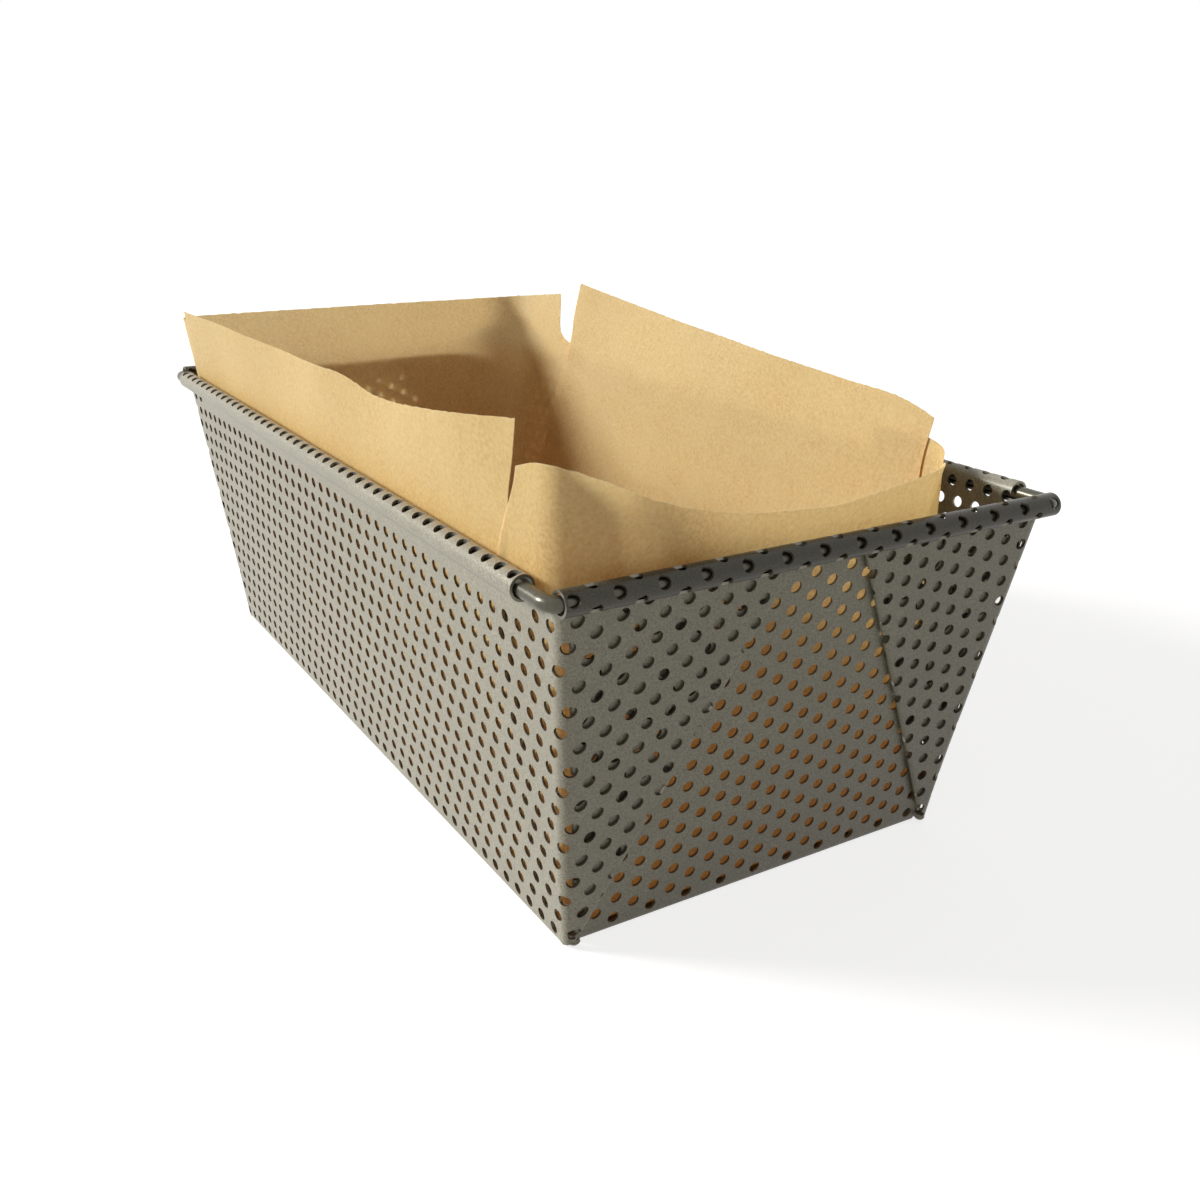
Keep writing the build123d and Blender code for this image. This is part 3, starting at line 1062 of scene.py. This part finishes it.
def column_shares(side, columns):
    """Shares of a flap's foot where its columns stand. Those on the base's edge meet the base's
    own, and more go on round the corners."""
    foot = rounded_path(*paper_plan(side, 0))
    edge = 2 * paper_line("front" if side in ENDS else "right", 0)
    before = (foot[1] - foot[0]).length if side in ENDS else 0
    total = path_length(foot)
    after = total - edge - before
    step = liner_sizes().step
    first, last = ceil(before / step), ceil(max(after, 0) / step - 0.01)
    places = [0] + even_steps(0, before, first) + even_steps(before, before + edge, columns)
    places += even_steps(before + edge, total, last)
    return [place / total for place in places]


def add_flap(bm, side, columns):
    """One flap with the strips that go on round its corners."""
    liner, turn = liner_sizes(), pi / 2 - lean_of(side)
    shares = column_shares(side, columns)
    low_rows = [liner.crease * (1 - cos(turn * k / CREASE_ROWS))
                for k in range(CREASE_ROWS + 1)]
    low_rows += even_steps(low_rows[-1], liner.free_from, WALL_ROWS)
    head = path_length(rounded_path(*paper_plan(side, FULL_HEIGHT)))
    last_column, last_row = len(shares) - 1, len(low_rows) + FREE_ROWS - 1
    spots = bmesh.ops.create_grid(
        bm, x_segments=last_column, y_segments=last_row, size=1)["verts"]
    for vert in spots:
        column = round((vert.co.x + 1) / 2 * last_column)
        row = round((vert.co.y + 1) / 2 * last_row)
        share = shares[column]
        if row < len(low_rows):
            height = low_rows[row]
        else:
            top = smooth_curve(TOP_EDGES[side], share * head / MM) * MM - liner.seat
            seed = Vector((column * RAGGED_STEP, *(OUTWARD[side].xy * RAGGED_SIDE)))
            top += liner.ragged * noise.noise(seed)
            over = (row - len(low_rows) + 1) / FREE_ROWS
            height = low_rows[-1] + (top - low_rows[-1]) * over
        spot, out = along_path(rounded_path(*paper_plan(side, height)), share)
        swell = noise.noise(Vector((spot.x, spot.y, height * WAVE_TALL)) / WAVE_SIZE)
        room = min(1, height / WAVE_ROOM)
        free = max(0, (height - liner.free_from) / WAVE_FREE)
        swing = room * (swell - 0.5) * WAVE_HELD + free * swell * WAVE_LOOSE
        spot += out * (liner.wave * swing)
        vert.co = (spot.x, spot.y, liner.seat + height)

    # The strips round the corners are slit from the base, so their lowest rows are left out
    if side in ENDS:
        inside, below = paper_line(side, 0) - SAME, liner.seat + low_rows[SLIT_ROW]
        strips = []
        for face in {face for vert in spots for face in vert.link_faces}:
            middle = face.calc_center_median()
            if abs(middle.x) < inside and middle.z < below:
                strips.append(face)
        bmesh.ops.delete(bm, geom=strips, context="FACES")


class LoafPanPaper(Operator):
    """Crease the baking paper and stand it in the pan"""
    bl_idname = "loaf_pan.paper"
    bl_label = "Paper liner"

    def execute(self, context):
        liner = liner_sizes()
        half_x, half_y = paper_line("right", 0), paper_line("front", 0)
        columns, rows = (ceil(2 * half / liner.step) for half in (half_x, half_y))
        bm = bmesh.new()
        flat_place = Matrix.Diagonal((half_x, half_y, 1, 1))
        bmesh.ops.create_grid(
            bm, x_segments=columns, y_segments=rows, size=1,
            matrix=Matrix.Translation((0, 0, liner.seat)) @ flat_place)
        for side in OUTWARD:
            add_flap(bm, side, rows if side in ENDS else columns)
        bmesh.ops.remove_doubles(bm, verts=bm.verts, dist=WELD)
        bmesh.ops.recalc_face_normals(bm, faces=bm.faces)
        area = sum(face.calc_area() for face in bm.faces)
        nodes = ["liner_base"] + ["liner_" + side for side in OUTWARD]
        piece = finish_sheet(
            bm, "baking_paper", nodes, liner.thickness, ("kraft_baking_paper",),
            "liner", sharp=75)
        return {"FINISHED"}


def seen_directly(tree):
    """1 for rays that show a thing to the camera, straight, in a mirror or through glass."""
    path = node(tree, "ShaderNodeLightPath").outputs
    seen = path["Is Camera Ray"]
    for other in ("Is Glossy Ray", "Is Transmission Ray"):
        both = node(tree, "ShaderNodeMath", {0: seen, 1: path[other]}, operation="MAXIMUM")
        seen = both.outputs["Value"]
    return seen


def make_floor():
    bm = bmesh.new()
    bmesh.ops.create_grid(bm, x_segments=8, y_segments=8, size=FLOOR_HALF)
    floor = new_object(bm, "pale_floor")
    material, tree = new_material("matt_pale_floor")
    # Matt board. Seen directly it is lifted to white, to meet the backdrop without a line
    board = node(tree, "ShaderNodeBsdfPrincipled", {
        "Base Color": shade(finishes().floor), "Roughness": 0.9, "Specular IOR Level": 0.1})
    lift = node(tree, "ShaderNodeMath", {
        0: seen_directly(tree), 1: FLOOR_LIFT}, operation="MULTIPLY")
    glow = node(tree, "ShaderNodeEmission", {"Strength": lift.outputs["Value"]})
    both = node(tree, "ShaderNodeAddShader", {
        0: board.outputs["BSDF"], 1: glow.outputs["Emission"]})
    node(tree, "ShaderNodeOutputMaterial", {"Surface": both.outputs["Shader"]})
    floor.data.materials.append(material)


def make_world(scene):
    """A dim white room that lights the pan, and a white backdrop where it is seen."""
    scene.world = bpy.data.worlds.new("studio")
    scene.world.use_nodes = True
    tree = scene.world.node_tree
    tree.nodes.clear()
    room, white = (
        node(tree, "ShaderNodeBackground", {"Color": (1, 1, 1, 1), "Strength": strength})
        for strength in (ROOM_LIGHT, 1.0))
    mixed = node(tree, "ShaderNodeMixShader", {
        0: seen_directly(tree), 1: room.outputs["Background"],
        2: white.outputs["Background"]})
    node(tree, "ShaderNodeOutputWorld", {"Surface": mixed.outputs["Shader"]})


def make_lamp(scene):
    """Sun through a window at the left of the front, low and soft."""
    data = bpy.data.lights.new("key_window", "SUN")
    data.angle = KEY_SPREAD
    data.energy = KEY_STRENGTH
    lamp = bpy.data.objects.new("key_window", data)
    scene.collection.objects.link(lamp)
    lamp.location = KEY_PLACE
    lamp.rotation_euler = (-Vector(KEY_PLACE)).to_track_quat("-Z", "Y").to_euler()


def make_camera(scene):
    """A short view from the right of the front, low over the near corner."""
    turn, rise, roll = CAMERA_ANGLES
    away = Vector((sin(turn) * cos(rise), -cos(turn) * cos(rise), sin(rise)))
    across = UP.cross(away).normalized()
    upright = away.cross(across)
    side = across * cos(roll) + upright * sin(roll)
    top = upright * cos(roll) - across * sin(roll)
    data = bpy.data.cameras.new("photo_camera")
    data.sensor_width = 36
    data.lens = CAMERA_LENS
    data.shift_x, data.shift_y = CAMERA_SHIFT
    data.clip_start = 0.01
    camera = bpy.data.objects.new("photo_camera", data)
    scene.collection.objects.link(camera)
    place = Matrix((side, top, away)).transposed().to_4x4()
    place.translation = Vector(CAMERA_PLACE) * MM
    camera.matrix_world = place
    scene.camera = camera


class LoafPanStage(Operator):
    """Set the floor, the lamp and the camera"""
    bl_idname = "loaf_pan.stage"
    bl_label = "Stage"

    def execute(self, context):
        scene = context.scene
        make_floor()
        make_world(scene)
        make_lamp(scene)
        make_camera(scene)
        scene.view_settings.view_transform = "Standard"
        return {"FINISHED"}


class LoafPanPanel(Panel):
    """Steps that build the loaf pan"""
    bl_idname = "VIEW3D_PT_loaf_pan"
    bl_label = "Loaf pan"
    bl_space_type = "VIEW_3D"
    bl_region_type = "UI"
    bl_category = "Loaf pan"

    def draw(self, context):
        for step in STEPS:
            self.layout.operator(step.bl_idname)
        for key, group in GROUPS.items():
            for name in group.__annotations__:
                self.layout.prop(getattr(context.scene, key), name)


GROUPS = {
    "loaf_pan_sizes": LoafPanSizes,
    "loaf_pan_holes": LoafPanHoles,
    "loaf_pan_liner": LoafPanLiner,
    "loaf_pan_finishes": LoafPanFinishes,
}
STEPS = (
    LoafPanBase, LoafPanWalls, LoafPanPleats, LoafPanRolls, LoafPanWire, LoafPanPaper,
    LoafPanStage)
CLASSES = (*GROUPS.values(), *STEPS, LoafPanPanel)


def register():
    for item in CLASSES:
        bpy.utils.register_class(item)
    for key, group in GROUPS.items():
        setattr(bpy.types.Scene, key, bpy.props.PointerProperty(type=group))


def unregister():
    for key in GROUPS:
        delattr(bpy.types.Scene, key)
    for item in reversed(CLASSES):
        bpy.utils.unregister_class(item)


def main():
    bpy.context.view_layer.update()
    register()
    bpy.ops.loaf_pan.base()
    bpy.ops.loaf_pan.walls()
    bpy.ops.loaf_pan.pleats()
    bpy.ops.loaf_pan.rolls()
    bpy.ops.loaf_pan.wire()
    bpy.ops.loaf_pan.paper()
    bpy.ops.loaf_pan.stage()


if __name__ == "__main__":
    main()
